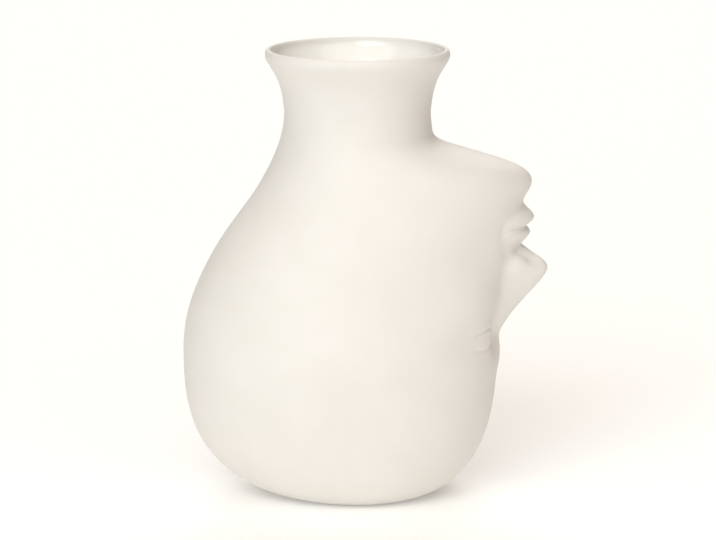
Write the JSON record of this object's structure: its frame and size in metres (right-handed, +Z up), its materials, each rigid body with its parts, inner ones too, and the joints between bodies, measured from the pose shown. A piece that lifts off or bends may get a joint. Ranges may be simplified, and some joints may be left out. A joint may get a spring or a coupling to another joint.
{
  "type": "face vase",
  "caption": "Matte porcelain vase in the form of an upturned head that stands on its crown, with a round neck, a flared lip and a glossy glaze inside.",
  "frame": {"origin": "centre of the flat foot, on the neck's axis and on the table", "axes": "+Z up along the neck's axis to the mouth, +X towards the face; the vase is the same on both sides of Y = 0"},
  "size_m": [0.2108, 0.15, 0.26],
  "materials": {
    "bisque": "matte, unglazed and polished smooth",
    "glaze": "clear gloss over white porcelain"
  },
  "bodies": {
    "root": {"head_shell": "bisque", "neck_collar": "bisque", "glaze_lining": "glaze"}
  },
  "joints": []
}
